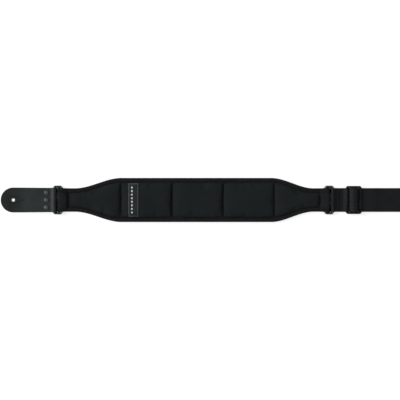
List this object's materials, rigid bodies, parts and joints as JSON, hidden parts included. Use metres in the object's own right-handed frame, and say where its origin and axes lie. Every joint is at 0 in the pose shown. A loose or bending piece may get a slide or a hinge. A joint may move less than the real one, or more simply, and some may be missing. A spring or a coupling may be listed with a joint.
{
  "type": "padded guitar strap",
  "caption": "Padded shoulder strap for a guitar or bass: quilted pad with bound edges, riveted leather end tabs, wire rings and webbing adjusted by a slider.",
  "frame": {"origin": "middle of the laid out strap, on the surface it lies on", "axes": "+X along the strap from the fixed end tab to the adjustable end, +Z out of the strap's outer face"},
  "size_m": [1.1814, 0.095, 0.0125],
  "materials": {
    "leather": "smooth black top grain with a satin sheen",
    "cover": "black plain woven nylon",
    "binding": "black ribbed binding tape",
    "foam": "grey open cell foam",
    "patch": "black woven patch with a pale border",
    "webbing": "black herringbone webbing",
    "steel": "gloss black plated steel",
    "rivet": "satin gunmetal plating"
  },
  "bodies": {
    "pad": {"pad_face_cover": "cover", "pad_back_cover": "cover", "pad_foam_1": "foam", "pad_foam_2": "foam", "pad_foam_3": "foam", "pad_foam_4": "foam", "pad_foam_5": "foam", "binding_upper": "binding", "binding_lower": "binding", "pad_label": "patch"},
    "left_ring": {"left_ring": "steel"},
    "left_tab": {"left_end_tab": "leather", "left_rivet_cap_1": "rivet", "left_rivet_back_1": "rivet", "left_rivet_cap_2": "rivet", "left_rivet_back_2": "rivet", "left_rivet_cap_3": "rivet", "left_rivet_back_3": "rivet"},
    "right_ring": {"right_ring": "steel"},
    "webbing": {"webbing_sewn_end": "webbing", "webbing_upper_run": "webbing"},
    "slider": {"slider": "steel", "webbing_over_slider": "webbing", "webbing_return_end": "webbing"},
    "far_turn": {"webbing_far_turn": "webbing", "webbing_return_run": "webbing"},
    "far_ring": {"far_ring": "steel"},
    "far_tab": {"far_end_tab": "leather", "far_rivet_cap_1": "rivet", "far_rivet_back_1": "rivet", "far_rivet_cap_2": "rivet", "far_rivet_back_2": "rivet", "far_rivet_cap_3": "rivet", "far_rivet_back_3": "rivet"}
  },
  "joints": [
    {"name": "left_ring_swing", "type": "hinge", "parent": "pad", "child": "left_ring", "pos_m": [-0.45955, 0, 0.005], "axis": [0, 1, 0], "range_deg": [-75, 75]},
    {"name": "left_tab_swing", "type": "hinge", "parent": "left_ring", "child": "left_tab", "pos_m": [-0.47535, 0, 0.005], "axis": [0, 1, 0], "range_deg": [-75, 75]},
    {"name": "right_ring_swing", "type": "hinge", "parent": "pad", "child": "right_ring", "pos_m": [0.10825, 0, 0.004], "axis": [0, 1, 0], "range_deg": [-75, 75]},
    {"name": "webbing_swing", "type": "hinge", "parent": "right_ring", "child": "webbing", "pos_m": [0.12405, 0, 0.004], "axis": [0, 1, 0], "range_deg": [-75, 75]},
    {"name": "slider_slide", "type": "slide", "parent": "webbing", "child": "slider", "axis": [1, 0, 0], "range_m": [0, 0.4], "deforming": ["webbing_upper_run"]},
    {"name": "far_end_slide", "type": "slide", "parent": "slider", "child": "far_turn", "axis": [1, 0, 0], "range_m": [-0.2, 0], "deforming": ["webbing_return_run"]},
    {"name": "far_ring_swing", "type": "hinge", "parent": "far_turn", "child": "far_ring", "pos_m": [0.45955, 0, 0.005], "axis": [0, 1, 0], "range_deg": [-75, 75]},
    {"name": "far_tab_swing", "type": "hinge", "parent": "far_ring", "child": "far_tab", "pos_m": [0.47535, 0, 0.005], "axis": [0, 1, 0], "range_deg": [-75, 75]}
  ],
  "couplings": [
    {"joint": "far_end_slide", "follows": "slider_slide", "ratio": -0.5}
  ]
}
